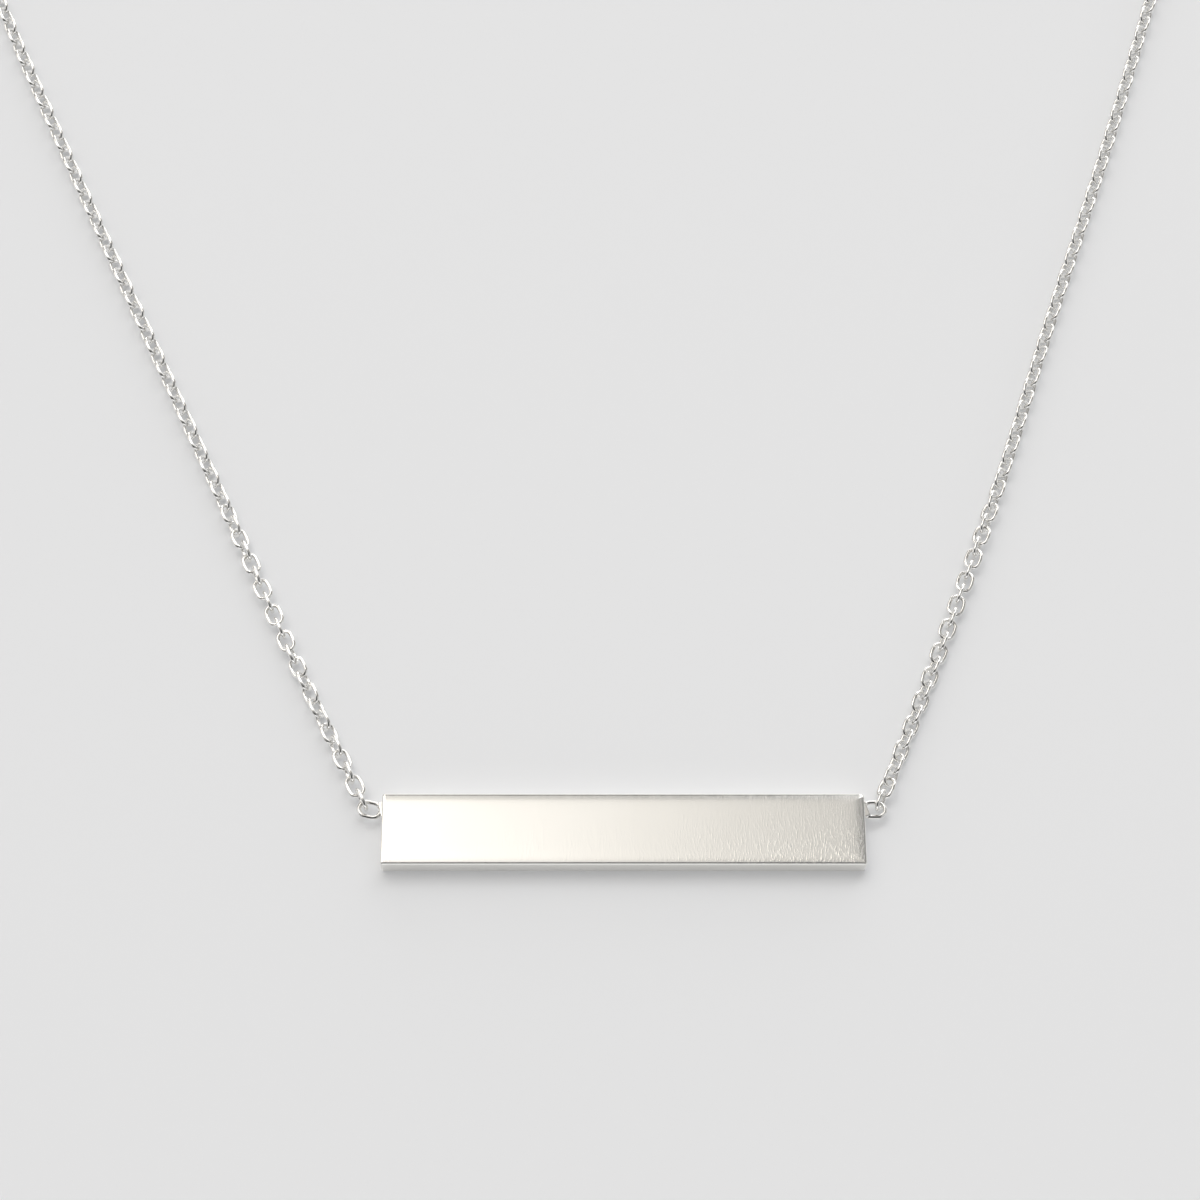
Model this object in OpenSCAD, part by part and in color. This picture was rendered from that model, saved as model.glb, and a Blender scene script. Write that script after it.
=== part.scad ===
// Bar necklace lying flat on a surface: a plain horizontal bar with a soldered link at each end,
// a fine oval cable chain on each side, and a spring ring clasp at the back.
// Millimetres. X runs along the bar, Y away from the wearer's front towards the clasp, Z up.
// The origin is the middle of the bar's flat underside.

/* [Bar] */
// Length of the bar
bar_len = 35; // [28:0.5:45]
// Height of the bar's face, from its front edge to its rear edge as it lies
bar_wid = 5.4; // [4.4:0.1:8]
// Thickness of the bar
bar_thick = 1.7; // [1.3:0.1:2.6]
// Radius of the bar's four upright corners
corner_r = 0.35; // [0.15:0.05:0.6]
// Rounding of the bar's long and short edges
edge_r = 0.15; // [0.05:0.05:0.4]

/* [Soldered end links] */
// Distance of each soldered link's middle from the bar's rear edge
solder_inset = 1; // [0.8:0.1:1.6]
// How far the left soldered link stands out from the bar's end
reach_left = 1.9; // [1.6:0.05:1.9]
// How far the left soldered link is turned, its outer end rearwards
turn_left = 14; // [0:1:16]
// How far the right soldered link stands out from the bar's end
reach_right = 1.7; // [1.6:0.05:1.9]
// Thickness of the solder that holds each link
solder_thick = 0.44; // [0.36:0.02:0.7]
// How far the solder runs out along the left link
solder_run_left = 0.3; // [0.3:0.05:0.6]
// How far the solder runs out along the right link
solder_run_right = 0.45; // [0.3:0.05:0.6]
// How far the solder runs along the bar's end
solder_side = 1.2; // [0.8:0.1:1.6]

/* [Chain] */
// Outside length of a chain link
link_len = 1.9; // [1.8:0.05:2.4]
// Outside width of a chain link
link_wid = 1.4; // [1.25:0.05:1.6]
// Diameter of the wire that the links are made of
link_wire = 0.3; // [0.24:0.02:0.32]
// Play between neighbouring links in the left chain, which lies almost taut
play_left = 0.13; // [0.12:0.01:0.25]
// Play between neighbouring links in the right chain, which lies slacker
play_right = 0.25; // [0.12:0.01:0.3]
// Links made one by one in the left chain, from the bar towards the clasp
count_left = 72; // [20:1:80]
// Links made one by one in the right chain, from the bar towards the clasp
count_right = 78; // [20:1:85]

/* [Clasp] */
// Outside diameter of the spring ring
clasp_d = 6; // [5:0.5:8]
// Diameter of the spring ring's tube
clasp_tube = 1.2; // [1:0.1:1.5]
// Outside diameter of the small loop that fastens the spring ring to the left chain
clasp_loop_d = 2.2; // [2:0.1:3]
// Wire of that small loop
clasp_loop_wire = 0.45; // [0.35:0.05:0.5]
// Diameter of the thumb knob
knob_d = 0.8; // [0.6:0.1:1]
// How far the thumb knob stands out of the tube
knob_out = 0.7; // [0.4:0.1:1]
// Outside diameter of the jump ring on the right chain, which the spring ring closes round
jump_d = 3.6; // [3.4:0.1:5]
// Wire of the jump ring
jump_wire = 0.5; // [0.4:0.05:0.5]
// Clearance between the jump ring and the spring ring that it hangs in
clasp_gap = 0.15; // [0.1:0.05:0.3]

/* [Hidden] */
$fn = 32;

// A link's middle line: two half circles joined by straight wires
bend_r = (link_wid - link_wire) / 2;
straight = link_len - link_wid;
bend_x = straight / 2;
half_len = bend_x + bend_r;

pitch_left = link_len - 2 * link_wire - play_left;
pitch_right = link_len - 2 * link_wire - play_right;

// The soldered links lie level with the middle of the bar's thickness
solder_y = bar_wid / 2 - solder_inset;
solder_z = bar_thick / 2;
solder_left_x = -bar_len / 2 - reach_left + link_wid / 2 + bend_x * cos(turn_left);
solder_right_x = bar_len / 2 + reach_right - link_len / 2;
// The solder reaches this far into the bar
solder_bite = 0.2;
// Outline of the solder beyond the bar's end: shares of [its run along the link, half its side]
solder_outline = [[0.25, 1], [1, -0.75], [0.25, -1]];

// The spring ring leans: one side lies on the jump ring, which stands on its edge, and the small
// loop on the other side is level with the middle of the chain link that stands on edge in it
clasp_r = (clasp_d - clasp_tube) / 2;
clasp_loop_r = (clasp_loop_d - clasp_loop_wire) / 2;
clasp_loop_x = clasp_d / 2 + clasp_loop_r;
jump_r = (jump_d - jump_wire) / 2;
jump_offset = jump_r - (jump_wire + clasp_tube) / 2 - clasp_gap;
jump_hook_angle = 60;
jump_hook_z = jump_d / 2 - jump_offset * sin(jump_hook_angle);
clasp_tilt = asin((jump_hook_z - link_wid / 2) / (clasp_r + clasp_loop_x + clasp_loop_r));
clasp_z = jump_hook_z - clasp_r * sin(clasp_tilt);
clasp_at = [-4, 167];
jump_x = clasp_at.x + clasp_r * cos(clasp_tilt) + jump_offset * cos(jump_hook_angle);
knob_angle = 125;

// The tubes stop this far short of what they lead up to, where the chain's links hook in
tube_gap = 0.15;
clasp_end_x = clasp_at.x - (clasp_loop_x + clasp_loop_d / 2) * cos(clasp_tilt);

// Each chain's middle line on the surface, from its soldered link to the clasp: chosen points [x, y]
left_route = [
    [solder_left_x - bend_x * cos(turn_left), solder_y + bend_x * sin(turn_left)],
    [-24, 12.5], [-31, 27.5], [-38, 42.5], [-45, 57.5], [-52, 73], [-58, 88.5], [-61.5, 104.5],
    [-61, 121], [-55.5, 136], [-45.5, 149], [-31.5, 159.5], [-18, 165.5],
    [clasp_end_x - tube_gap, clasp_at.y]
];
right_route = [
    [solder_right_x + bend_x, solder_y],
    [23, 12.5], [29, 28], [34, 42.5], [39.5, 58], [44.5, 73], [49.5, 88.5], [52.5, 104.5],
    [52, 121], [47, 136], [37.5, 149], [24.5, 159.5], [11.5, 165.5],
    [jump_x + jump_d / 2 + tube_gap, clasp_at.y]
];
// How far the links are turned about the chain's line, at distances from the bar: [distance, degrees]
left_twist = [[0, 0], [2, 5], [10, 50], [16, 85], [20, 92], [25, 115], [28, 135]];
right_twist = [[0, -10], [2, -36], [5, -58], [11, -65], [18, -88], [20, -92], [25, -116], [30, -135]];
// Length over which a chain comes down from the soldered link to the surface
settle_len = 5;

// The tube that stands for the back of a chain is as high as links lying at 45 degrees
tube_d = 2 * rest_height(45);
tube_sides = 8;
tube_rings = 40;
spline_steps = 12;

function at_or_beyond(route, i) =
    i < 0 ? 2 * route[0] - route[1]
    : i > len(route) - 1 ? 2 * route[len(route) - 1] - route[len(route) - 2]
    : route[i];

// A point of the smooth curve that passes through p1 and p2
function between(p0, p1, p2, p3, t) =
    (2 * p1 + (p2 - p0) * t + (2 * p0 - 5 * p1 + 4 * p2 - p3) * t * t
    + (3 * p1 - p0 - 3 * p2 + p3) * t * t * t) / 2;

function trace(route) = [
    for (i = [0 : len(route) - 2], k = [0 : spline_steps - 1])
        between(at_or_beyond(route, i - 1), route[i], route[i + 1], at_or_beyond(route, i + 2), k / spline_steps),
    route[len(route) - 1]
];

// Rows of [distance along the line, x, y]
function measured(line) = [
    for (i = 0, run = 0; i < len(line);
         run = run + (i + 1 < len(line) ? norm(line[i + 1] - line[i]) : 0), i = i + 1)
        [run, line[i].x, line[i].y]
];

left_path = measured(trace(left_route));
right_path = measured(trace(right_route));

function path_len(path) = path[len(path) - 1][0];

function path_point(path, run) = [
    lookup(run, [for (row = path) [row[0], row[1]]]),
    lookup(run, [for (row = path) [row[0], row[2]]])
];

function path_heading(path, run) =
    let (ahead = path_point(path, run + half_len / 2) - path_point(path, run - half_len / 2))
    atan2(ahead.y, ahead.x);

// Height of a chain's middle line where its links, turned by roll and by roll + 90, lie on the surface
function rest_height(roll) = link_wire / 2 + bend_r * max(abs(sin(roll)), abs(cos(roll)));

function link_height(run, roll) =
    rest_height(roll) + (solder_z - rest_height(roll)) * max(0, 1 - run / settle_len);

function link_run(i, pitch) = half_len + i * pitch;

// One ring of a tube that lies on the surface, with a flat side down
function ring_points(path, run) =
    let (centre = path_point(path, run), heading = path_heading(path, run),
         r = tube_d / 2 / cos(180 / tube_sides))
    [for (j = [0 : tube_sides - 1])
        let (a = 360 * (j + 0.5) / tube_sides, out = r * cos(a))
        [centre.x + out * sin(heading), centre.y - out * cos(heading), tube_d / 2 + r * sin(a)]];

// A rectangle with round corners, about the origin
module round_rect(w, h, r) {
    square([w - 2 * r, h], center = true);
    square([w, h - 2 * r], center = true);
    for (x = [-1, 1], y = [-1, 1])
        translate([x * (w / 2 - r), y * (h / 2 - r)]) circle(r);
}

// A chain link lying flat, its length along X
module link() {
    for (half = [0, 180])
        rotate([0, 0, half]) {
            translate([bend_x, 0, 0]) rotate([0, 0, -90])
                rotate_extrude(angle = 180) translate([bend_r, 0]) circle(d = link_wire);
            translate([-bend_x, bend_r, 0]) rotate([0, 90, 0]) cylinder(d = link_wire, h = straight);
        }
}

// The bar's body, with its flat underside on the surface
module bar_body() {
    translate([0, 0, bar_thick / 2])
        intersection() {
            linear_extrude(bar_thick, center = true) round_rect(bar_len, bar_wid, corner_r);
            rotate([90, 0, 0]) linear_extrude(bar_wid, center = true) round_rect(bar_len, bar_thick, edge_r);
            rotate([90, 0, 90]) linear_extrude(bar_len, center = true) round_rect(bar_wid, bar_thick, edge_r);
        }
}

// Solder between the bar's end and a link: a slanted web, on the bar's side, that thins out rearwards
// for a slant of 1 and frontwards for -1
module solder_web(side, slant, run) {
    half = solder_side / 2;
    translate([side * bar_len / 2, solder_y, solder_z])
        linear_extrude(solder_thick, center = true)
            polygon([
                [-side * solder_bite, -slant * half],
                [-side * solder_bite, slant * half],
                for (p = solder_outline) [side * p.x * run, slant * p.y * half]
            ]);
}

// The links of one chain that are made one by one
module links(path, pitch, count, twist) {
    for (i = [0 : count - 1])
        let (run = link_run(i, pitch), roll = lookup(run, twist) + (i % 2 == 0 ? 90 : 0),
             at = path_point(path, run))
            translate([at.x, at.y, link_height(run, roll)])
                rotate([roll, 0, path_heading(path, run)])
                    link();
}

// The plain tube that stands for the rest of a chain, from its last single link to the clasp
module back_tube(path, pitch, count) {
    from = link_run(count - 1, pitch) + link_len / 2 + tube_gap;
    total = path_len(path);
    points = [
        for (k = [0 : tube_rings - 1])
            let (run = from + (total - from) * k / (tube_rings - 1))
                each ring_points(path, run)
    ];
    sides = [
        for (k = [0 : tube_rings - 2], j = [0 : tube_sides - 1])
            let (a = k * tube_sides + j, b = k * tube_sides + (j + 1) % tube_sides)
                [a, a + tube_sides, b + tube_sides, b]
    ];
    start_cap = [for (j = [0 : tube_sides - 1]) j];
    end_cap = [for (j = [tube_sides - 1 : -1 : 0]) (tube_rings - 1) * tube_sides + j];
    polyhedron(points, concat([start_cap], sides, [end_cap]));
}

module bar() {
    color([0.86, 0.85, 0.83]) {
        bar_body();
        translate([solder_left_x, solder_y, solder_z]) rotate([0, 0, -turn_left]) link();
        translate([solder_right_x, solder_y, solder_z]) link();
        solder_web(-1, -1, solder_run_left);
        solder_web(1, 1, solder_run_right);
    }
}

module chain_left() {
    color([0.8, 0.8, 0.8]) links(left_path, pitch_left, count_left, left_twist);
}

module chain_right() {
    color([0.8, 0.8, 0.8]) links(right_path, pitch_right, count_right, right_twist);
}

module chain_back_left() {
    color([0.76, 0.76, 0.76]) back_tube(left_path, pitch_left, count_left);
}

module chain_back_right() {
    color([0.76, 0.76, 0.76]) back_tube(right_path, pitch_right, count_right);
}

module clasp() {
    color([0.82, 0.82, 0.81])
        translate([clasp_at.x, clasp_at.y, clasp_z])
            rotate([0, -clasp_tilt, 0]) {
                rotate_extrude() translate([clasp_r, 0]) circle(d = clasp_tube);
                translate([-clasp_loop_x, 0, 0])
                    rotate_extrude() translate([clasp_loop_r, 0]) circle(d = clasp_loop_wire);
                rotate([0, 0, knob_angle]) translate([clasp_r, 0, 0]) rotate([0, 90, 0])
                    cylinder(d = knob_d, h = clasp_tube / 2 + knob_out);
            }
}

module jump_ring() {
    color([0.82, 0.82, 0.81])
        translate([jump_x, clasp_at.y, jump_d / 2])
            rotate([90, 0, 0])
                rotate_extrude() translate([jump_r, 0]) circle(d = jump_wire);
}

bar();
chain_left();
chain_right();
chain_back_left();
chain_back_right();
clasp();
jump_ring();
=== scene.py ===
"""Bar necklace of sterling silver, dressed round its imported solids.

A flat bar lies on a pale table with a small link soldered to each end. A fine cable chain leaves each
of these links, and a spring ring closes the loop at the back. The classes hold their sizes in
millimetres and model in them, and a finished piece is brought to metres. X runs along the bar, Y
towards the clasp and Z up.
"""
from __future__ import annotations

import logging
import math
import random
from collections.abc import Callable, Iterator, Sequence
from contextlib import contextmanager
from dataclasses import dataclass, field
from enum import Enum

import bmesh
import bpy
from mathutils import Matrix, Vector

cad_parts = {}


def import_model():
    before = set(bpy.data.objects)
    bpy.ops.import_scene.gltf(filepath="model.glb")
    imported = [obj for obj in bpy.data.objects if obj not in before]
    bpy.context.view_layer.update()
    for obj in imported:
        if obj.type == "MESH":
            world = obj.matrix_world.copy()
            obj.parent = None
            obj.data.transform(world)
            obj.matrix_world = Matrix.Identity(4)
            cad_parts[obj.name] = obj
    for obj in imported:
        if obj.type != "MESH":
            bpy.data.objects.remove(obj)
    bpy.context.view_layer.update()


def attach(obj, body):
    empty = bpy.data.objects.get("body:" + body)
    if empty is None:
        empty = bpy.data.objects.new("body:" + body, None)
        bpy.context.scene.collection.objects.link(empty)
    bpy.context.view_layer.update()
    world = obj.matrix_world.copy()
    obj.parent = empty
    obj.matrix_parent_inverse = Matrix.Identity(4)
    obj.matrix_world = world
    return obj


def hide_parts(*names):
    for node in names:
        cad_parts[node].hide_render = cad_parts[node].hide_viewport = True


LOG = logging.getLogger("bar_necklace")
MM = 0.001
BODY = "root"
SEED = 7
ALL_SMOOTH = 180.0
"""The angle, in degrees, that leaves no edge of a piece sharp."""


class Side(Enum):
    """The two sides of the necklace, as the sign of X."""

    LEFT = -1
    RIGHT = 1


class Element(Enum):
    """What is picked in edit mode."""

    VERT = "VERT"
    EDGE = "EDGE"
    FACE = "FACE"


class Axis(Enum):
    """The axes of a direction or a place, as the node that splits them names its outputs."""

    X = "X"
    Y = "Y"
    Z = "Z"


def select_only(*pieces: bpy.types.Object) -> None:
    """Selects these pieces alone and makes the first one active.

    Args:
        pieces: the objects to select.
    """
    bpy.ops.object.select_all(action="DESELECT")
    for piece in pieces:
        piece.select_set(True)
    bpy.context.view_layer.objects.active = pieces[0]


def newest(name: str) -> bpy.types.Object:
    """Names the object that an operator has just added.

    Args:
        name: the name for the object and its mesh.

    Returns:
        The active object.
    """
    piece = bpy.context.active_object
    piece.name = piece.data.name = name
    return piece


def outlined(name: str, points: Sequence[Vector], filled: bool = True) -> bpy.types.Object:
    """Starts a piece as an outline.

    Args:
        name: the object's name.
        points: the outline's corners, in order.
        filled: whether the outline is one face, or only its edges.

    Returns:
        The outline.
    """
    bpy.ops.mesh.primitive_circle_add(vertices=len(points), fill_type="NGON" if filled else "NOTHING")
    piece = newest(name)
    for vertex, point in zip(piece.data.vertices, points):
        vertex.co = point
    return piece


def wire_ring(name: str, radius: float, wire: float, steps: int, sides: int) -> bpy.types.Object:
    """Starts a piece as a ring of round wire that lies flat about the origin.

    Args:
        name: the object's name.
        radius: the radius of the wire's middle line.
        wire: the wire's thickness.
        steps: how many steps the ring has round it.
        sides: how many sides the wire has.

    Returns:
        The ring.
    """
    bpy.ops.mesh.primitive_torus_add(major_segments=steps, minor_segments=sides,
                                     major_radius=radius, minor_radius=wire / 2)
    return newest(name)


@contextmanager
def editing(piece: bpy.types.Object, element: Element) -> Iterator[None]:
    """Opens a piece in edit mode with nothing selected, and closes it afterwards.

    Args:
        piece: the mesh object to edit.
        element: what the select mode picks.

    Yields:
        Nothing; the piece is in edit mode meanwhile.
    """
    select_only(piece)
    bpy.ops.object.mode_set(mode="EDIT")
    bpy.ops.mesh.select_mode(type=element.value)
    bpy.ops.mesh.select_all(action="DESELECT")
    yield
    bpy.ops.object.mode_set(mode="OBJECT")


def pick(piece: bpy.types.Object, element: Element, test: Callable[[object], bool]) -> None:
    """Selects the elements of a piece in edit mode that pass a test, and no others.

    Args:
        piece: the mesh object in edit mode.
        element: the kind of element that is tested.
        test: says whether one vertex, edge or face is wanted.
    """
    shape = bmesh.from_edit_mesh(piece.data)
    rows = {Element.VERT: shape.verts, Element.EDGE: shape.edges, Element.FACE: shape.faces}[element]
    bpy.ops.mesh.select_all(action="DESELECT")
    for item in [item for item in rows if test(item)]:
        item.select_set(True)
    shape.select_flush_mode()
    bmesh.update_edit_mesh(piece.data)


def face_outwards() -> None:
    """Points all faces of the piece in edit mode outwards."""
    bpy.ops.mesh.select_all(action="SELECT")
    bpy.ops.mesh.normals_make_consistent(inside=False)


def bearing(point: Vector) -> float:
    """The direction of a point from the middle, in degrees from 0 to 360."""
    return math.degrees(math.atan2(point.y, point.x)) % 360


def apply_modifier(piece: bpy.types.Object, kind: str, **settings: object) -> None:
    """Adds a modifier with its settings and applies it.

    Args:
        piece: the mesh object.
        kind: the modifier's type, such as "REMESH".
        settings: the modifier's properties.
    """
    select_only(piece)
    modifier = piece.modifiers.new(kind.title(), kind)
    for key, value in settings.items():
        setattr(modifier, key, value)
    bpy.ops.object.modifier_apply(modifier=modifier.name)


def joined(name: str, pieces: Sequence[bpy.types.Object]) -> bpy.types.Object:
    """Joins several objects into the first one.

    Args:
        name: the name of the result.
        pieces: the objects to join.

    Returns:
        The joined object.
    """
    select_only(*pieces)
    bpy.ops.object.join()
    return newest(name)


def copied(piece: bpy.types.Object, place: Matrix) -> bpy.types.Object:
    """Copies a piece with its own mesh, which is moved to a place.

    Args:
        piece: the object to copy, itself at the origin.
        place: where the copy's mesh goes.

    Returns:
        The copy, at the origin.
    """
    twin = piece.copy()
    twin.data = piece.data.copy()
    twin.data.transform(place)
    bpy.context.scene.collection.objects.link(twin)
    return twin


def smoothed(piece: bpy.types.Object, degrees: float) -> None:
    """Shades a piece smooth, but for edges sharper than an angle.

    Args:
        piece: the mesh object.
        degrees: the angle past which an edge stays sharp.
    """
    select_only(piece)
    bpy.ops.object.shade_smooth_by_angle(angle=math.radians(degrees))


def hand_over(piece: bpy.types.Object, node: str) -> None:
    """Brings a piece to metres, lets it ride on the body in its solids' stead, and reports it.

    Args:
        piece: the modelled object, in millimetres at the origin.
        node: the node of solids that it replaces.
    """
    piece.data.transform(Matrix.Scale(MM, 4))
    piece.data.update()
    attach(piece, BODY)
    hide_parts(node)
    LOG.info("%s: %d faces, for %s", piece.name, len(piece.data.polygons), node)


def linear(colour: str) -> tuple[float, float, float, float]:
    """Turns an sRGB hex colour to a linear one.

    Args:
        colour: the colour as "#RRGGBB".

    Returns:
        Linear red, green and blue, with an alpha of 1.
    """
    shares = [int(colour[i:i + 2], 16) / 255 for i in (1, 3, 5)]
    red, green, blue = (s / 12.92 if s <= 0.04045 else ((s + 0.055) / 1.055) ** 2.4 for s in shares)
    return red, green, blue, 1.0


def add_node(tree: bpy.types.NodeTree, kind: str, settings: dict[str, object] | None = None,
             links: dict[str | int, bpy.types.NodeSocket] | None = None) -> bpy.types.Node:
    """Adds a node to a tree with its settings and links.

    Args:
        tree: the node tree.
        kind: the node's type, such as "ShaderNodeTexNoise".
        settings: values by the name of a property of the node, or else of an input.
        links: output sockets by the name or number of the input that they feed.

    Returns:
        The new node.
    """
    node = tree.nodes.new(kind)
    for name, value in (settings or {}).items():
        if hasattr(node, name):
            setattr(node, name, value)
        else:
            node.inputs[name].default_value = value
    for name, socket in (links or {}).items():
        tree.links.new(socket, node.inputs[name])
    return node


def blank_material(name: str) -> tuple[bpy.types.Material, bpy.types.NodeTree, bpy.types.NodeSocket]:
    """Makes a material that holds only the node for the place on its object.

    Args:
        name: the material's name.

    Returns:
        The material, its node tree and the socket with the place.
    """
    material = bpy.data.materials.new(name)
    material.use_nodes = True
    tree = material.node_tree
    tree.nodes.clear()
    return material, tree, add_node(tree, "ShaderNodeTexCoord").outputs["Object"]


@dataclass(frozen=True)
class Fade:
    """A straight change of one value with another between two ends, held beyond them."""

    start: float
    end: float
    at_start: float = 0.0
    at_end: float = 1.0

    def settings(self, unit: float = 1.0) -> dict[str, object]:
        """The settings of a Map Range node, whose ends are counted in a unit."""
        return {"From Min": self.start * unit, "From Max": self.end * unit,
                "To Min": self.at_start, "To Max": self.at_end}


@dataclass(frozen=True)
class Relief:
    """How clearly, and how deep in millimetres, a pattern stands out of a surface."""

    strength: float
    depth_mm: float

    def settings(self) -> dict[str, object]:
        """The settings of a Bump node."""
        return {"Strength": self.strength, "Distance": self.depth_mm * MM}


@dataclass(frozen=True)
class Streaks:
    """Fine marks of wear across the bar: their size in millimetres, slant in degrees and raggedness."""

    width_mm: float
    length_mm: float
    slant: float
    ragged: float

    def pattern(self, tree: bpy.types.NodeTree, place: bpy.types.NodeSocket) -> bpy.types.NodeSocket:
        """Adds the marks to a material.

        Args:
            tree: the material's node tree.
            place: the place on the bar.

        Returns:
            The socket with the marks' height.
        """
        fine, long = 1 / (self.width_mm * MM), 1 / (self.length_mm * MM)
        turned = add_node(tree, "ShaderNodeMapping",
                          {"Scale": (fine, long, fine), "Rotation": (0.0, 0.0, math.radians(self.slant))},
                          {"Vector": place})
        return add_node(tree, "ShaderNodeTexNoise",
                        {"Scale": 1.0, "Detail": 3.0, "Roughness": self.ragged},
                        {"Vector": turned.outputs["Vector"]}).outputs["Fac"]


@dataclass(frozen=True)
class SatinSilver:
    """Sterling silver, rolled flat, polished and worn to a satin.

    It mirrors the light softly, so the face goes from white to grey along the bar with no sharp image.
    Its burnished edges mirror clearly and draw thin lines, and its filed sides are matt. Real hairlines
    and scuffs are a few hundredths of a millimetre wide or less, and these are as coarse as they need
    to be to show.
    """

    colour: str = "#F8F7F4"
    shade: str = "#F1F0EC"
    wave_mm: float = 9.0
    wave: Relief = Relief(0.25, 0.02)
    hairlines: Streaks = Streaks(width_mm=0.07, length_mm=1.6, slant=4.0, ragged=0.6)
    hairline: Relief = Relief(0.12, 0.004)
    scuffs: Streaks = Streaks(width_mm=0.13, length_mm=0.45, slant=20.0, ragged=0.65)
    scuff: Relief = Relief(1.0, 0.006)
    scuff_share: Fade = Fade(0.5, 0.72)
    scuffed_right: Fade = Fade(2.0, 16.0, 0.15, 1.0)
    scuffed_front: Fade = Fade(2.2, -2.4, 0.15, 1.0)
    roughness: Fade = Fade(0.35, 0.7, 0.17, 0.26)
    burnish: Fade = Fade(0.93, 0.985, 0.4, 1.0)
    filing: Fade = Fade(0.1, 0.3, 0.42, 0.0)

    def material(self) -> bpy.types.Material:
        """Makes the finish.

        Returns:
            The bar's material.
        """
        material, tree, place = blank_material("silver_satin_bar")
        hairs = self.hairlines.pattern(tree, place)
        cloud = add_node(tree, "ShaderNodeTexNoise", {"Scale": 1 / (self.wave_mm * MM), "Detail": 2.0},
                         {"Vector": place}).outputs["Fac"]
        tint = add_node(tree, "ShaderNodeMix",
                        {"data_type": "RGBA", "A": linear(self.colour), "B": linear(self.shade)},
                        {"Factor": cloud})
        waved = add_node(tree, "ShaderNodeBump", self.wave.settings(), {"Height": cloud})
        lined = add_node(tree, "ShaderNodeBump", self.hairline.settings(),
                         {"Height": hairs, "Normal": waved.outputs["Normal"]})
        scuffed = add_node(tree, "ShaderNodeBump", self.scuff.settings(),
                           {"Height": self._scuffs(tree, place), "Normal": lined.outputs["Normal"]})
        shader = add_node(tree, "ShaderNodeBsdfPrincipled", {"Metallic": 1.0},
                          {"Base Color": tint.outputs["Result"], "Normal": scuffed.outputs["Normal"],
                           "Roughness": self._roughness(tree, hairs)})
        add_node(tree, "ShaderNodeOutputMaterial", links={"Surface": shader.outputs["BSDF"]})
        return material

    def _roughness(self, tree: bpy.types.NodeTree, hairs: bpy.types.NodeSocket) -> bpy.types.NodeSocket:
        """Adds how rough the hairlines make the face, less on burnished edges, and the filed sides.

        Args:
            tree: the material's node tree.
            hairs: the hairlines' height.

        Returns:
            The socket with the roughness.
        """
        normal = add_node(tree, "ShaderNodeTexCoord").outputs["Normal"]
        upward = add_node(tree, "ShaderNodeSeparateXYZ", links={"Vector": normal}).outputs[Axis.Z.value]
        worn = add_node(tree, "ShaderNodeMapRange", self.roughness.settings(), {"Value": hairs})
        burnished = add_node(tree, "ShaderNodeMapRange", self.burnish.settings(), {"Value": upward})
        filed = add_node(tree, "ShaderNodeMapRange", self.filing.settings(), {"Value": upward})
        handled = add_node(tree, "ShaderNodeMath", {"operation": "MULTIPLY"},
                           {0: worn.outputs["Result"], 1: burnished.outputs["Result"]})
        return add_node(tree, "ShaderNodeMath", {"operation": "MAXIMUM"},
                        {0: handled.outputs["Value"], 1: filed.outputs["Result"]}).outputs["Value"]

    def _scuffs(self, tree: bpy.types.NodeTree, place: bpy.types.NodeSocket) -> bpy.types.NodeSocket:
        """Adds the short scuffs of wear, which gather towards the front of the bar's right half.

        Args:
            tree: the material's node tree.
            place: the place on the bar.

        Returns:
            The socket with the scuffs' height.
        """
        axes = add_node(tree, "ShaderNodeSeparateXYZ", links={"Vector": place})
        total = add_node(tree, "ShaderNodeMapRange", self.scuff_share.settings(),
                         {"Value": self.scuffs.pattern(tree, place)}).outputs["Result"]
        for axis, fade in ((Axis.X, self.scuffed_right), (Axis.Y, self.scuffed_front)):
            share = add_node(tree, "ShaderNodeMapRange", fade.settings(MM),
                             {"Value": axes.outputs[axis.value]})
            total = add_node(tree, "ShaderNodeMath", {"operation": "MULTIPLY"},
                             {0: total, 1: share.outputs["Result"]}).outputs["Value"]
        return total


@dataclass(frozen=True)
class BrightSilver:
    """Sterling silver wire, barrel polished: sharp highlights with a slight orange peel."""

    name: str = "silver_bright_wire"
    colour: str = "#F7F6F4"
    shade: str = "#ECEBE8"
    roughness: Fade = Fade(0.3, 0.7, 0.03, 0.075)
    peel_mm: float = 0.35
    peel: Relief = Relief(0.08, 0.02)

    def material(self) -> bpy.types.Material:
        """Makes the finish.

        Returns:
            The wire's material.
        """
        material, tree, place = blank_material(self.name)
        cloud = add_node(tree, "ShaderNodeTexNoise", {"Scale": 1 / (self.peel_mm * MM), "Detail": 2.0},
                         {"Vector": place}).outputs["Fac"]
        tint = add_node(tree, "ShaderNodeMix",
                        {"data_type": "RGBA", "A": linear(self.colour), "B": linear(self.shade)},
                        {"Factor": cloud})
        dull = add_node(tree, "ShaderNodeMapRange", self.roughness.settings(), {"Value": cloud})
        rippled = add_node(tree, "ShaderNodeBump", self.peel.settings(), {"Height": cloud})
        shader = add_node(tree, "ShaderNodeBsdfPrincipled", {"Metallic": 1.0},
                          {"Base Color": tint.outputs["Result"], "Roughness": dull.outputs["Result"],
                           "Normal": rippled.outputs["Normal"]})
        add_node(tree, "ShaderNodeOutputMaterial", links={"Surface": shader.outputs["BSDF"]})
        return material


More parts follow.
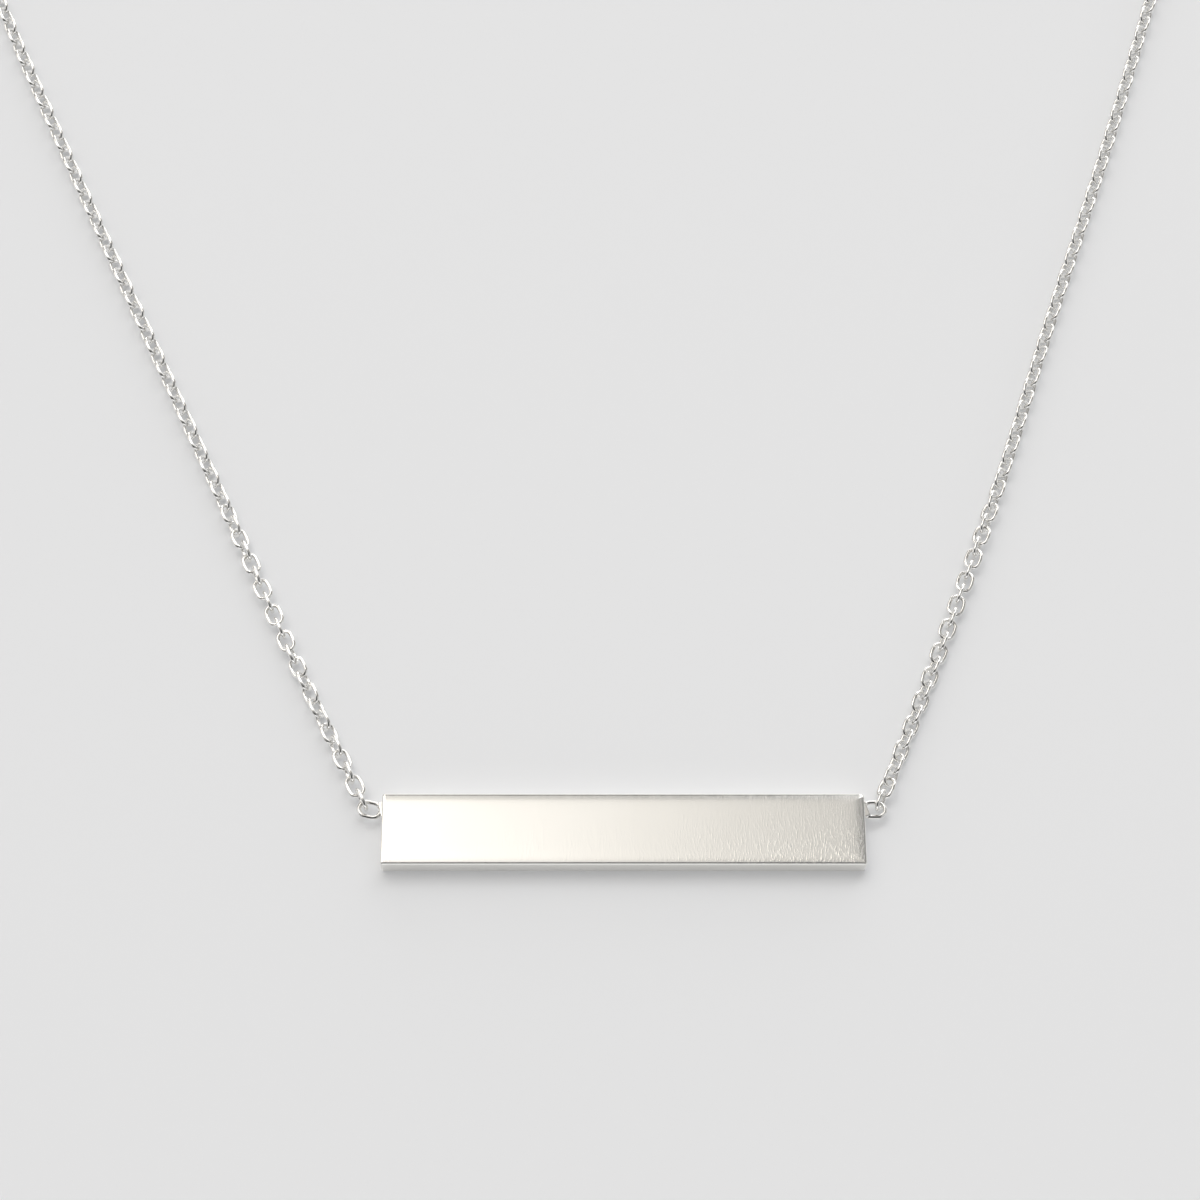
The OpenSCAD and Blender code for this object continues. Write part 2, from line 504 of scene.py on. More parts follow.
@dataclass(frozen=True)
class FrostedAcrylic:
    """A light table's acrylic, sanded matt with the faintest tooth, and lit so that shadows stay pale."""

    colour: str = "#D4D5D7"
    lamp: str = "#FFFFFF"
    from_below: float = 0.18
    roughness: float = 0.75
    gloss: float = 0.2
    tooth_mm: float = 0.4
    tooth: Relief = Relief(0.05, 0.01)

    def material(self) -> bpy.types.Material:
        """Makes the finish.

        Returns:
            The table's material.
        """
        material, tree, place = blank_material("acrylic_frosted_pale")
        cloud = add_node(tree, "ShaderNodeTexNoise", {"Scale": 1 / (self.tooth_mm * MM), "Detail": 3.0},
                         {"Vector": place}).outputs["Fac"]
        sanded = add_node(tree, "ShaderNodeBump", self.tooth.settings(), {"Height": cloud})
        shader = add_node(tree, "ShaderNodeBsdfPrincipled",
                          {"Base Color": linear(self.colour), "Roughness": self.roughness,
                           "Specular IOR Level": self.gloss, "Emission Color": linear(self.lamp),
                           "Emission Strength": self.from_below}, {"Normal": sanded.outputs["Normal"]})
        add_node(tree, "ShaderNodeOutputMaterial", links={"Surface": shader.outputs["BSDF"]})
        return material


def looked_up(rows: Sequence[tuple[float, float]], at: float) -> float:
    """Reads a table of (distance, value) rows between its rows, and holds its ends.

    Args:
        rows: the table, by rising distance.
        at: the distance to read it at.

    Returns:
        The value there.
    """
    if at <= rows[0][0]:
        return rows[0][1]
    for (x0, y0), (x1, y1) in zip(rows, rows[1:]):
        if at <= x1:
            return y0 + (y1 - y0) * (at - x0) / (x1 - x0)
    return rows[-1][1]


class Route:
    """A chain's middle line on the table: a smooth line through chosen points, in millimetres."""

    STEPS = 12

    def __init__(self, points: Sequence[tuple[float, float]]) -> None:
        """Traces the line.

        Args:
            points: the chosen points, from the bar to the clasp.
        """
        chosen = [Vector(p) for p in points]
        held = [2 * chosen[0] - chosen[1], *chosen, 2 * chosen[-1] - chosen[-2]]
        line = [self._between(*held[i:i + 4], k / self.STEPS)
                for i in range(len(chosen) - 1) for k in range(self.STEPS)]
        line.append(chosen[-1])
        runs = [0.0]
        for a, b in zip(line, line[1:]):
            runs.append(runs[-1] + (b - a).length)
        self._x = [(run, p.x) for run, p in zip(runs, line)]
        self._y = [(run, p.y) for run, p in zip(runs, line)]
        self.length = runs[-1]

    @staticmethod
    def _between(p0: Vector, p1: Vector, p2: Vector, p3: Vector, t: float) -> Vector:
        """A point of the smooth curve that passes through p1 and p2."""
        return (2 * p1 + (p2 - p0) * t + (2 * p0 - 5 * p1 + 4 * p2 - p3) * t ** 2
                + (3 * p1 - p0 - 3 * p2 + p3) * t ** 3) / 2

    def point(self, run: float) -> Vector:
        """The point at a distance along the line."""
        return Vector((looked_up(self._x, run), looked_up(self._y, run)))

    def heading(self, run: float, reach: float) -> float:
        """The direction of the line in radians, taken over a reach before and after a distance."""
        ahead = self.point(run + reach) - self.point(run - reach)
        return math.atan2(ahead.y, ahead.x)


CHAIN_WIRE = tuple(22.5 + 45 * k for k in range(8))
"""Where the corners of the chain wire's section are, in degrees from its outer side."""
WORN_WIRE = (0.0, 28.0, 84.0, 98.0, 152.0, 180.0, 208.0, 262.0, 276.0, 332.0)
"""The same for the end links' wire, which the polishing wheel has flattened on its slopes."""


@dataclass
class CableLink:
    """One oval link of wire, a hair thicker than it measures because its section has few corners."""

    length: float = 1.91
    width: float = 1.41
    wire: float = 0.31
    rings: int = 16
    section: Sequence[float] = CHAIN_WIRE
    waist: float = 0.1
    weld: float = 0.001

    @property
    def bend_radius(self) -> float:
        """Radius of the wire's middle line round each end."""
        return (self.width - self.wire) / 2

    @property
    def half_length(self) -> float:
        """From the link's middle to the middle of the wire at its end."""
        return (self.length - self.wire) / 2

    def model(self, name: str) -> bpy.types.Object:
        """Models a link lying flat about the origin, its length along X.

        A round link is spun from the wire's section, and its ends are pulled apart.

        Args:
            name: the object's name.

        Returns:
            The link, in millimetres.
        """
        turns = [math.radians(degrees) for degrees in self.section]
        centre = Vector((self.bend_radius, 0, 0))
        section = [Vector((math.cos(a), 0, math.sin(a))) * self.wire / 2 + centre for a in turns]
        link = outlined(name, section, filled=False)
        spread = self.half_length - self.bend_radius
        with editing(link, Element.VERT):
            bpy.ops.mesh.select_all(action="SELECT")
            bpy.ops.mesh.spin(steps=self.rings, angle=math.tau, center=(0, 0, 0), axis=(0, 0, 1))
            bpy.ops.mesh.select_all(action="SELECT")
            bpy.ops.mesh.remove_doubles(threshold=self.weld)
            face_outwards()
            for side in Side:
                pick(link, Element.VERT,
                     lambda v, sign=side.value: sign * v.co.x > abs(v.co.y) * self.waist)
                bpy.ops.transform.translate(value=(side.value * spread, 0, 0))
        return link


@dataclass
class LinkPlace:
    """Where one link lies: its middle, its direction, its roll and how far it points up, in degrees."""

    at: Vector
    heading: float
    roll: float
    rise: float = 0.0

    def matrix(self) -> Matrix:
        """The link's place as a matrix."""
        return (Matrix.Translation(self.at) @ Matrix.Rotation(math.radians(self.heading), 4, "Z")
                @ Matrix.Rotation(math.radians(-self.rise), 4, "Y")
                @ Matrix.Rotation(math.radians(self.roll), 4, "X"))


@dataclass
class CableChain:
    """One side's cable chain, from the link soldered to the bar to the clasp."""

    side: Side
    route: Route
    pitch: float
    front_links: int
    twist: Sequence[tuple[float, float]]
    end_run: float
    hooks: Sequence[LinkPlace] = ()
    start_height: float = 0.85
    settle: float = 5.0
    jitter: float = 2.5
    link: CableLink = field(default_factory=CableLink)

    def _height(self, run: float, roll: float) -> float:
        """Works out how high the middle line of links that lie on the table is.

        Args:
            run: the distance along the route.
            roll: the roll in degrees.

        Returns:
            The height.
        """
        turn = math.radians(roll)
        rest = self.link.wire / 2 + self.link.bend_radius * max(abs(math.sin(turn)), abs(math.cos(turn)))
        return rest + (self.start_height - rest) * max(0.0, 1 - run / self.settle)

    def _place(self, index: int, run: float, chance: random.Random) -> LinkPlace:
        """Works out where one link lies.

        Args:
            index: the link's number, counted from the bar.
            run: its middle's distance along the route.
            chance: gives each link its own small turn.

        Returns:
            The link's place.
        """
        at = self.route.point(run)
        heading = math.degrees(self.route.heading(run, self.link.half_length / 2))
        heading += chance.uniform(-self.jitter, self.jitter)
        roll = looked_up(self.twist, run) + (90 if index % 2 == 0 else 0)
        roll += chance.uniform(-self.jitter, self.jitter)
        return LinkPlace(Vector((at.x, at.y, self._height(run, roll))), heading, roll)

    def places(self) -> tuple[list[LinkPlace], list[LinkPlace]]:
        """Works out every link's place.

        Returns:
            The places of the front links, and those of the back ones up to the clasp.
        """
        chance = random.Random(SEED + self.side.value)
        first = self.link.half_length
        front = [self._place(i, first + i * self.pitch, chance) for i in range(self.front_links)]
        start = first + (self.front_links - 1) * self.pitch
        count = round((self.end_run - start) / self.pitch)
        step = (self.end_run - start) / count
        back = [self._place(self.front_links + k, start + (k + 1) * step, chance) for k in range(count)]
        return front, [*back, *self.hooks]

    def build(self, finish: bpy.types.Material) -> None:
        """Models the chain's front and back stretches, one piece each.

        Args:
            finish: the wire's material.
        """
        word = self.side.name.lower()
        for stretch, node, places in zip(("front", "back"), ("chain", "chain_back"), self.places()):
            pattern = self.link.model("link_pattern")
            pattern.data.materials.append(finish)
            smoothed(pattern, ALL_SMOOTH)
            links = [copied(pattern, place.matrix()) for place in places]
            bpy.data.objects.remove(pattern)
            hand_over(joined(f"cable_chain_{word}_{stretch}", links), f"{node}_{word}")


@dataclass(frozen=True)
class CrownStep:
    """One step of the bar's crowned face: how far it runs in from each side and end, and its rise."""

    rear: float
    front: float
    left: float
    right: float
    rise: float

    @classmethod
    def even(cls, inset: float, rise: float) -> CrownStep:
        """A step that runs in equally far all round."""
        return cls(inset, inset, inset, inset, rise)

    def inset(self, side: Side) -> float:
        """How far the step lies in from one end."""
        return self.left if side is Side.LEFT else self.right

    def above(self, lower: CrownStep) -> CrownStep:
        """The level that this step reaches from a lower level."""
        return CrownStep(lower.rear + self.rear, lower.front + self.front, lower.left + self.left,
                         lower.right + self.right, lower.rise + self.rise)


@dataclass(frozen=True)
class BarEnd:
    """What one end of the bar has of its own: its rear corner, and its link's solder, reach and turn."""

    rear_corner: float
    solder_run: float
    reach: float
    turn: float


@dataclass
class Bar:
    """The flat bar with a link soldered to each end."""

    length: float = 35.0
    width: float = 5.4
    thickness: float = 1.7
    ends: dict[Side, BarEnd] = field(default_factory=lambda: {
        Side.LEFT: BarEnd(rear_corner=0.26, solder_run=0.3, reach=1.9, turn=-14.0),
        Side.RIGHT: BarEnd(rear_corner=0.38, solder_run=0.45, reach=1.7, turn=0.0)})
    front_corner: float = 0.2
    least_corner: float = 0.02
    corner_steps: int = 6
    edge: float = 0.16
    foot: float = 0.07
    edge_steps: int = 5
    crown: Sequence[CrownStep] = (
        CrownStep(rear=0.07, front=0.1, left=0.05, right=0.04, rise=0.014),
        CrownStep(rear=0.26, front=0.2, left=0.04, right=0.3, rise=0.022),
        CrownStep(rear=0.12, front=0.12, left=0.04, right=0.2, rise=0.007),
        CrownStep(rear=0.2, front=0.2, left=0.06, right=0.4, rise=0.005),
        CrownStep(rear=0.5, front=0.5, left=0.5, right=1.0, rise=0.006))
    end_link: CableLink = field(default_factory=lambda: CableLink(1.93, 1.43, 0.33, 48, WORN_WIRE))
    solder_inset: float = 1.0
    solder_side: float = 1.2
    solder_bite: float = 0.2
    solder_thick: float = 0.44
    solder_foot: float = 0.25
    solder_tip: float = 0.75
    skin_voxel: float = 0.035
    skin_passes: int = 2
    crease_angle: float = 60.0

    def _levels(self) -> list[CrownStep]:
        """Lists the outline's insets and heights from the underside up over both edges and the crown.

        Returns:
            One row a level; its rise holds the height.
        """
        turns = [math.radians(90 * k / self.edge_steps) for k in range(self.edge_steps + 1)]
        shoulder = self.thickness - sum(step.rise for step in self.crown) - self.edge
        rows = [CrownStep.even(self.foot * (1 - math.sin(a)), self.foot * (1 - math.cos(a)))
                for a in turns]
        rows += [CrownStep.even(self.edge * (1 - math.cos(a)), shoulder + self.edge * math.sin(a))
                 for a in turns]
        for step in self.crown:
            rows.append(step.above(rows[-1]))
        return rows

    def _outline(self, level: CrownStep) -> list[Vector]:
        """Works out the bar's outline at one level, with round corners as long as their radius lasts.

        Args:
            level: the insets and the height.

        Returns:
            The outline's points, anticlockwise from the right end's rear corner.
        """
        points = []
        for quarter, (side, rear) in enumerate(((Side.RIGHT, True), (Side.LEFT, True),
                                                (Side.LEFT, False), (Side.RIGHT, False))):
            across = level.rear if rear else level.front
            along = level.inset(side)
            full = self.ends[side].rear_corner if rear else self.front_corner
            radius_x, radius_y = (max(full - lost, self.least_corner) for lost in (along, across))
            centre_x = side.value * (self.length / 2 - along - radius_x)
            centre_y = (1 if rear else -1) * (self.width / 2 - across - radius_y)
            for k in range(self.corner_steps + 1):
                turn = math.radians(90 * (quarter + k / self.corner_steps))
                points.append(Vector((centre_x + radius_x * math.cos(turn),
                                      centre_y + radius_y * math.sin(turn), level.rise)))
        return points

    def _body(self) -> bpy.types.Object:
        """Models the bar's body: softened corners and edges, and a face that is faintly crowned.

        Returns:
            The body, in millimetres.
        """
        levels = self._levels()
        outline = self._outline(levels[0])
        body = outlined("bar_body", outline)
        with editing(body, Element.FACE):
            bpy.ops.mesh.select_all(action="SELECT")
            for level in levels[1:]:
                bpy.ops.mesh.extrude_region_move(TRANSFORM_OT_translate={"value": (0, 0, 0)})
                target = self._outline(level)
                for vertex in bmesh.from_edit_mesh(body.data).verts:
                    if vertex.select:
                        nearest = min(range(len(outline)), key=lambda i: (vertex.co - outline[i]).length)
                        vertex.co = target[nearest]
                outline = target
            face_outwards()
        return body

    def _end_link(self, side: Side) -> bpy.types.Object:
        """Models one end link with the solder that holds it.

        Args:
            side: the bar's end.

        Returns:
            The link and its solder as one smooth skin, in millimetres.
        """
        end = self.ends[side]
        link = self.end_link
        turn = math.radians(end.turn)
        bend_x = link.half_length - link.bend_radius
        x = side.value * (self.length / 2 + end.reach - link.width / 2 - bend_x * math.cos(turn))
        y = self.width / 2 - self.solder_inset
        z = self.thickness / 2
        wire = link.model("end_link")
        wire.data.transform(Matrix.Translation((x, y, z)) @ Matrix.Rotation(turn, 4, "Z"))
        half = side.value * self.solder_side / 2
        foot = self.solder_foot * end.solder_run
        outline = ((-self.solder_bite, -half), (-self.solder_bite, half), (foot, half),
                   (end.solder_run, -self.solder_tip * half), (foot, -half))
        solder = outlined("solder", [Vector((side.value * (self.length / 2 + along), y + across,
                                             z - self.solder_thick / 2)) for along, across in outline])
        with editing(solder, Element.FACE):
            bpy.ops.mesh.select_all(action="SELECT")
            bpy.ops.mesh.extrude_region_move(TRANSFORM_OT_translate={"value": (0, 0, self.solder_thick)})
            face_outwards()
        skin = joined(f"end_link_{side.name.lower()}", [wire, solder])
        apply_modifier(skin, "REMESH", mode="VOXEL", voxel_size=self.skin_voxel)
        apply_modifier(skin, "SMOOTH", factor=0.5, iterations=self.skin_passes)
        return skin

    def build(self, satin: bpy.types.Material, bright: bpy.types.Material) -> None:
        """Models the bar and its end links as one piece.

        Args:
            satin: the bar's material.
            bright: the end links' material.
        """
        body = self._body()
        body.data.materials.append(satin)
        smoothed(body, self.crease_angle)
        apply_modifier(body, "WEIGHTED_NORMAL", keep_sharp=True)
        links = [self._end_link(side) for side in Side]
        for link in links:
            link.data.materials.append(bright)
            smoothed(link, ALL_SMOOTH)
        hand_over(joined("bar_with_end_links", [body, *links]), "bar")


@dataclass
class SpringRing:
    """The spring ring clasp, closed: a tube with a sliding bolt, its thumb knob and its small loop."""

    diameter: float = 6.0
    tube: float = 1.2
    bolt: float = 0.84
    steps: int = 72
    sides: int = 20
    opening: tuple[float, float] = (20.0, 78.0)
    bolt_overlap: float = 12.0
    end_bevel: float = 0.06
    loop_diameter: float = 2.2
    loop_wire: float = 0.45
    bead: float = 0.36
    bead_shape: tuple[float, float, float] = (0.8, 1.5, 0.85)
    knob: float = 0.8
    knob_out: float = 0.7
    knob_angle: float = 125.0
    knob_rounding: float = 0.3
    slot_lead: float = 6.0
    slot_span: float = 44.0
    slot_share: float = 0.2
    slot_rim: float = 0.04
    slot_depth: float = 0.22
    crease_angle: float = 40.0
    at: tuple[float, float, float] = (-4.0, 167.0, 1.114)
    tilt: float = 5.004

    @property
    def ring_radius(self) -> float:
        """Radius of the tube's middle line."""
        return (self.diameter - self.tube) / 2

    def _ring_part(self, name: str, wire: float, first: float, last: float) -> bpy.types.Object:
        """Models a stretch of the ring with closed ends.

        Args:
            name: the object's name.
            wire: the stretch's thickness.
            first: the angle that it starts at, in degrees.
            last: the angle that it ends at.

        Returns:
            The stretch, about the origin.
        """
        part = wire_ring(name, self.ring_radius, wire, self.steps, self.sides)

        def outside(face: bmesh.types.BMFace) -> bool:
            """Says whether a face lies past the stretch's ends."""
            angle = bearing(face.calc_center_median())
            return not (first < angle < last or first < angle + 360 < last)

        with editing(part, Element.FACE):
            pick(part, Element.FACE, outside)
            bpy.ops.mesh.delete(type="FACE")
            bpy.ops.mesh.select_mode(type="EDGE")
            pick(part, Element.EDGE, lambda e: e.is_boundary)
            bpy.ops.mesh.fill_holes(sides=0)
            pick(part, Element.EDGE, lambda e: any(len(f.verts) > 4 for f in e.link_faces))
            bpy.ops.mesh.bevel(offset=self.end_bevel, segments=2, affect="EDGES")
        return part

    def _in_slot(self, face: bmesh.types.BMFace) -> bool:
        """Says whether a face of the tube lies along the thumb knob's slot.

        Args:
            face: the face.

        Returns:
            Whether it does.
        """
        centre = face.calc_center_median()
        outward = math.hypot(centre.x, centre.y) - self.ring_radius
        return (0 < bearing(centre) - self.knob_angle + self.slot_lead < self.slot_span
                and outward > abs(centre.z) and abs(centre.z) < self.tube * self.slot_share)

    def _slotted_tube(self) -> bpy.types.Object:
        """Models the tube, with the slot that the thumb knob slides in sunk along its outer side.

        Returns:
            The tube, about the origin.
        """
        first, last = self.opening
        tube = self._ring_part("ring_tube", self.tube, last, first + 360)
        with editing(tube, Element.FACE):
            pick(tube, Element.FACE, self._in_slot)
            bpy.ops.mesh.inset(thickness=self.slot_rim)
            bpy.ops.mesh.extrude_region_shrink_fatten(
                TRANSFORM_OT_shrink_fatten={"value": -self.slot_depth})
        return tube

    def _knob(self) -> bpy.types.Object:
        """Models the thumb knob: a short stalk with a rounded head.

        Returns:
            The knob, in its place on the ring.
        """
        reach = self.tube / 2 + self.knob_out
        bpy.ops.mesh.primitive_cylinder_add(vertices=self.sides, radius=self.knob / 2, depth=reach)
        knob = newest("thumb_knob")
        with editing(knob, Element.EDGE):
            pick(knob, Element.EDGE, lambda e: all(v.co.z > 0 for v in e.verts))
            bpy.ops.mesh.bevel(offset=self.knob * self.knob_rounding, segments=4, affect="EDGES")
        knob.data.transform(Matrix.Rotation(math.radians(self.knob_angle), 4, "Z")
                            @ Matrix.Translation((self.ring_radius + reach / 2, 0, 0))
                            @ Matrix.Rotation(math.radians(90), 4, "Y"))
        return knob

    def _loop(self) -> bpy.types.Object:
        """Models the small loop that holds the chain, with a bead of solder where it meets the tube.

        Returns:
            The loop and its bead, in their place on the ring.
        """
        radius = (self.loop_diameter - self.loop_wire) / 2
        loop = wire_ring("small_loop", radius, self.loop_wire, steps=40, sides=14)
        loop.data.transform(Matrix.Translation((-self.diameter / 2 - radius, 0, 0)))
        bpy.ops.mesh.primitive_uv_sphere_add(segments=20, ring_count=12, radius=self.bead)
        bead = newest("solder_bead")
        with editing(bead, Element.VERT):
            bpy.ops.mesh.select_all(action="SELECT")
            bpy.ops.transform.resize(value=self.bead_shape)
            bpy.ops.transform.translate(value=(-self.diameter / 2, 0, 0))
        return joined("small_loop", [loop, bead])

    def build(self, finish: bpy.types.Material) -> None:
        """Models the clasp as one piece.

        Args:
            finish: its material.
        """
        first, last = self.opening
        lap = self.bolt_overlap
        parts = [self._slotted_tube(), self._ring_part("ring_bolt", self.bolt, first - lap, last + lap),
                 self._knob(), self._loop()]
        for part in parts:
            part.data.materials.append(finish)
            smoothed(part, self.crease_angle)
        clasp = joined("spring_ring_clasp", parts)
        clasp.data.transform(Matrix.Translation(self.at)
                             @ Matrix.Rotation(math.radians(-self.tilt), 4, "Y"))
        hand_over(clasp, "clasp")


@dataclass
class JumpRing:
    """The round ring on the right chain's end, standing on its edge in the spring ring."""

    diameter: float = 3.6
    wire: float = 0.5
    steps: int = 72
    sides: int = 16
    at: tuple[float, float, float] = (-1.334, 167.0, 1.8)
    seam_angle: float = 50.0
    seam_reach: float = 0.5
    seam_width: float = 0.03
    seam_depth: float = 0.04
    crease_angle: float = 50.0

    def _on_seam(self, edge: bmesh.types.BMEdge) -> bool:
        """Says whether an edge lies on the seam's circle."""
        return all(abs(bearing(v.co) - self.seam_angle) < self.seam_reach for v in edge.verts)

    def build(self, finish: bpy.types.Material) -> None:
        """Models the ring with the fine seam where its wire's ends meet.

        Args:
            finish: its material.
        """
        radius = (self.diameter - self.wire) / 2
        ring = wire_ring("jump_ring_round", radius, self.wire, self.steps, self.sides)
        with editing(ring, Element.EDGE):
            pick(ring, Element.EDGE, self._on_seam)
            bpy.ops.mesh.bevel(offset=self.seam_width, segments=2, affect="EDGES")
            pick(ring, Element.EDGE, self._on_seam)
            bpy.ops.transform.shrink_fatten(value=-self.seam_depth)
        ring.data.materials.append(finish)
        smoothed(ring, self.crease_angle)
        ring.data.transform(Matrix.Translation(self.at) @ Matrix.Rotation(math.radians(90), 4, "X"))
        hand_over(ring, "jump_ring")


@dataclass(frozen=True)
class Softbox:
    """A square softbox behind the necklace, which the metal doesn't mirror. Distances are in metres."""

    height: float = 65.0
    distance: float = 1.0
    size: float = 0.5
    radiance: float = 2.4
    target: tuple[float, float, float] = (0.0, 0.03, 0.0)

    def build(self) -> None:
        """Adds the light, pointed at its target."""
        lamp = bpy.data.lights.new("rear_softbox", "AREA")
        lamp.size = self.size
        lamp.energy = self.radiance * math.pi * self.size ** 2
        light = bpy.data.objects.new("rear_softbox", lamp)
        bpy.context.scene.collection.objects.link(light)
        light.visible_glossy = False
        height = math.radians(self.height)
        away = Vector((0.0, math.cos(height), math.sin(height)))
        light.location = Vector(self.target) + away * self.distance
        light.rotation_euler = away.to_track_quat("Z", "Y").to_euler()


@dataclass(frozen=True)
class TentPanel:
    """One wall of the light tent: its radiance, how that fades with the direction, and its colour."""

    name: str
    radiance: float
    fades: Sequence[tuple[Axis, Fade]] = ()
    cloth: str = "#FFFFFF"

    def glow(self, tree: bpy.types.NodeTree, way: bpy.types.Node) -> bpy.types.NodeSocket:
        """Adds the panel's light to the room.

        Args:
            tree: the room's node tree.
            way: the node that splits the light's direction into X, Y and Z.

        Returns:
            The shader's socket.
        """
        level = add_node(tree, "ShaderNodeValue", {"label": self.name}).outputs["Value"]
        level.default_value = self.radiance
        for axis, fade in self.fades:
            share = add_node(tree, "ShaderNodeMapRange", fade.settings(),
                             {"Value": way.outputs[axis.value]})
            level = add_node(tree, "ShaderNodeMath", {"operation": "MULTIPLY"},
                             {0: level, 1: share.outputs["Result"]}).outputs["Value"]
        return add_node(tree, "ShaderNodeBackground", {"Color": linear(self.cloth)},
                        {"Strength": level}).outputs["Background"]


WARM_CLOTH = "#FFFBF5"
TENT = (
    TentPanel("ceiling", 1.0, (
        (Axis.X, Fade(-0.04, 0.096, 1.17, 0.64)), (Axis.X, Fade(0.096, 0.2, 1.0, 0.42)),
        (Axis.Y, Fade(-0.03, 0.045)), (Axis.Z, Fade(0.82, 0.94, 0.1, 1.0))), WARM_CLOTH),
    TentPanel("left_sail", 1.75, (
        (Axis.X, Fade(-0.24, -0.1, 1.0, 0.0)), (Axis.X, Fade(-0.8, -0.5, 0.3, 1.0)),
        (Axis.Z, Fade(0.35, 0.65, 0.1, 1.0)), (Axis.Y, Fade(-0.2, 0.12))), WARM_CLOTH),
    TentPanel("right_sail", 3.0, (
        (Axis.X, Fade(0.13, 0.2)), (Axis.X, Fade(0.4, 0.7, 1.0, 0.3)),
        (Axis.Z, Fade(0.4, 0.7, 0.3, 1.0)), (Axis.Y, Fade(0.43, 0.5)))),
    TentPanel("front_left_sail", 0.3, (
        (Axis.X, Fade(-0.6, -0.35, 1.0, 0.0)), (Axis.Y, Fade(-0.2, 0.0, 1.0, 0.0)),
        (Axis.Z, Fade(0.1, 0.4, 0.3, 1.0)))),
    TentPanel("front_right_sail", 0.5, (
        (Axis.X, Fade(0.35, 0.6)), (Axis.Y, Fade(-0.2, 0.0, 1.0, 0.0)),
        (Axis.Z, Fade(0.1, 0.4, 0.3, 1.0)))),
    TentPanel("right_wall", 0.6, (
        (Axis.X, Fade(0.25, 0.5)), (Axis.Z, Fade(0.2, 0.5, 1.0, 0.3)),
        (Axis.Y, Fade(-0.4, -0.1, 0.15, 1.0)))),
    TentPanel("front_wall", 1.3, ((Axis.Y, Fade(-0.923, -0.843, 1.0, 0.0)),)),
    TentPanel("back_wall", 1.8, ((Axis.Y, Fade(0.87, 0.93)),)),
    TentPanel("left_wall", 0.6, ((Axis.X, Fade(-0.9, -0.8, 1.0, 0.0)),)),
    TentPanel("hood", 0.3, (
        (Axis.X, Fade(-0.35, -0.25)), (Axis.X, Fade(0.25, 0.35, 1.0, 0.0)),
        (Axis.Y, Fade(-0.3, -0.22)), (Axis.Y, Fade(-0.05, 0.0, 1.0, 0.0)))),
    TentPanel("flap", 0.25, (
        (Axis.X, Fade(-0.14, -0.1)), (Axis.X, Fade(-0.05, 0.01, 1.0, 0.0)),
        (Axis.Y, Fade(0.36, 0.42)), (Axis.Z, Fade(0.8, 0.84))), WARM_CLOTH),
    TentPanel("room", 0.045),
)
"""The tent's walls, whose fades go by the direction that their light comes from."""


@dataclass
class Studio:
    """The camera, the pale table and the soft light, in metres and degrees."""

    camera_at: tuple[float, float, float] = (-0.00169, -0.0583, 0.1731)
    camera_tilt: float = 24.0
    lens: float = 75.0
    sensor: float = 36.0
    clip: tuple[float, float] = (0.01, 20.0)
    table_size: float = 3.0
    softbox: Softbox = Softbox()
    tent: Sequence[TentPanel] = TENT

    def add_camera(self) -> None:
        """Adds the camera at the photograph's angle."""
        lens = bpy.data.cameras.new("camera")
        lens.lens = self.lens
        lens.sensor_width = self.sensor
        lens.clip_start, lens.clip_end = self.clip
        camera = bpy.data.objects.new("camera", lens)
        bpy.context.scene.collection.objects.link(camera)
        camera.location = self.camera_at
        camera.rotation_euler = (math.radians(self.camera_tilt), 0, 0)
        bpy.context.scene.camera = camera

    def add_table(self) -> None:
        """Adds the table that the necklace lies on."""
        bpy.ops.mesh.primitive_plane_add(size=self.table_size)
        table = newest("table")
        table.data.materials.append(FrostedAcrylic().material())

    def add_tent(self) -> None:
        """Adds the light tent, which is dark where the camera looks in and dim on the right."""
        world = bpy.data.worlds.new("light_tent")
        world.use_nodes = True
        bpy.context.scene.world = world
        tree = world.node_tree
        tree.nodes.clear()
        direction = add_node(tree, "ShaderNodeTexCoord").outputs["Generated"]
        way = add_node(tree, "ShaderNodeSeparateXYZ", links={"Vector": direction})
        total, *others = [panel.glow(tree, way) for panel in self.tent]
        for glow in others:
            total = add_node(tree, "ShaderNodeAddShader", links={0: total, 1: glow}).outputs["Shader"]
        add_node(tree, "ShaderNodeOutputWorld", links={"Surface": total})

    def build(self) -> None:
        """Sets up the studio, whose light is shown as it is, with no film curve over it."""
        bpy.context.scene.view_settings.view_transform = "Standard"
        self.add_camera()
        self.add_table()
        self.add_tent()
        self.softbox.build()


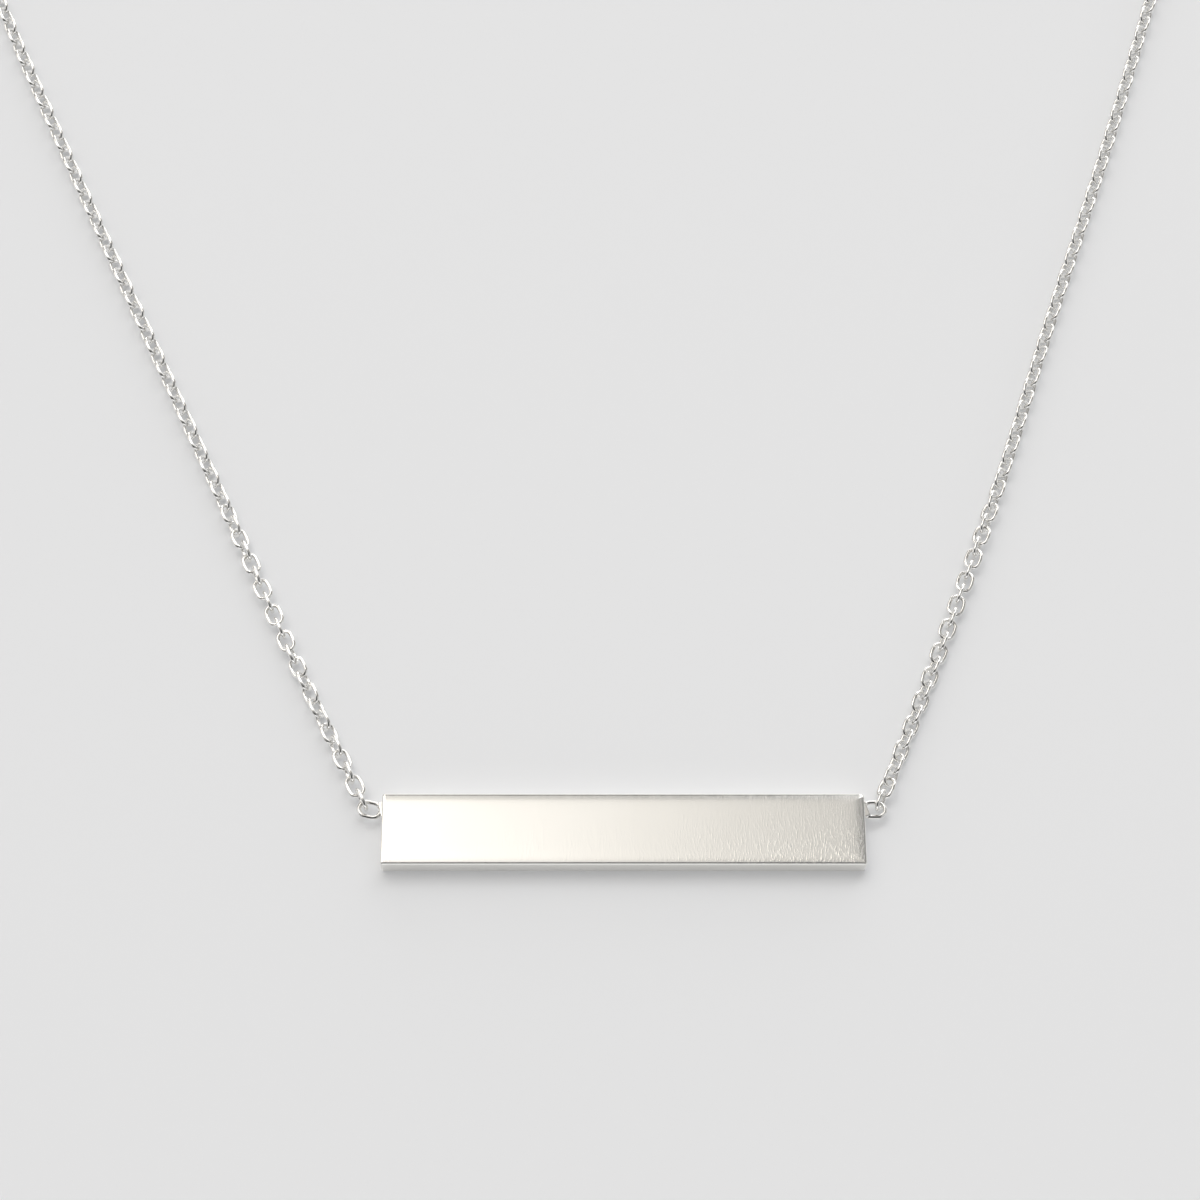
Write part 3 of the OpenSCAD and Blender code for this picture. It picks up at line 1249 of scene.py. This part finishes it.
LEFT_ROUTE = (
    (-18.7, 1.76),
    (-24, 12.5), (-31, 27.5), (-38, 42.5), (-45, 57.5), (-52, 73), (-58, 88.5), (-61.5, 104.5),
    (-61, 121), (-55.5, 136), (-45.5, 149), (-31.5, 159.5), (-18, 165.5), (-9.106, 167),
)
RIGHT_ROUTE = (
    (18.5, 1.7),
    (23, 12.5), (29, 28), (34, 42.5), (39.5, 58), (44.5, 73), (49.5, 88.5), (52.5, 104.5),
    (52, 121), (47, 136), (37.5, 149), (24.5, 159.5), (11.5, 165.5), (0.616, 167),
)
"""Points that the chains' middle lines pass through, as in the part's source."""
LEFT_TWIST = ((0, 0), (2, 5), (10, 50), (16, 85), (20, 92), (25, 115), (28, 135), (190, 135), (200, 90))
RIGHT_TWIST = ((0, -10), (2, -36), (5, -58), (11, -65), (18, -88), (20, -92), (25, -116), (30, -135),
               (185, -135), (196, -180))
"""How far the links are rolled, in degrees, by the distance along the chain."""
JUMP_HOOK = LinkPlace(Vector((0.288, 167.0, 0.82)), heading=180.0, roll=0.0, rise=15.0)
"""The last link on the right, which hangs in the jump ring."""
JUMP_HOOK_ROOM = 0.883
"""How far short of the right route's end the links before it stop."""


def chains() -> list[CableChain]:
    """Gives the two chains, whose front links lie where those of the solids lie.

    Returns:
        The left chain and the right chain.
    """
    left, right = Route(LEFT_ROUTE), Route(RIGHT_ROUTE)
    return [
        CableChain(Side.LEFT, left, pitch=1.17, front_links=72, twist=LEFT_TWIST, end_run=left.length),
        CableChain(Side.RIGHT, right, pitch=1.05, front_links=78, twist=RIGHT_TWIST,
                   end_run=right.length - JUMP_HOOK_ROOM, hooks=(JUMP_HOOK,)),
    ]


def main() -> None:
    """Builds the studio and the necklace in order and reports each piece."""
    logging.basicConfig(level=logging.INFO, format="%(name)s: %(message)s")
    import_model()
    Studio().build()
    bright = BrightSilver().material()
    clasp_finish = BrightSilver("silver_bright_clasp", roughness=Fade(0.3, 0.7, 0.06, 0.15),
                                peel_mm=0.8).material()
    Bar().build(SatinSilver().material(), bright)
    for chain in chains():
        chain.build(bright)
    SpringRing().build(clasp_finish)
    JumpRing().build(clasp_finish)


if __name__ == "__main__":
    main()
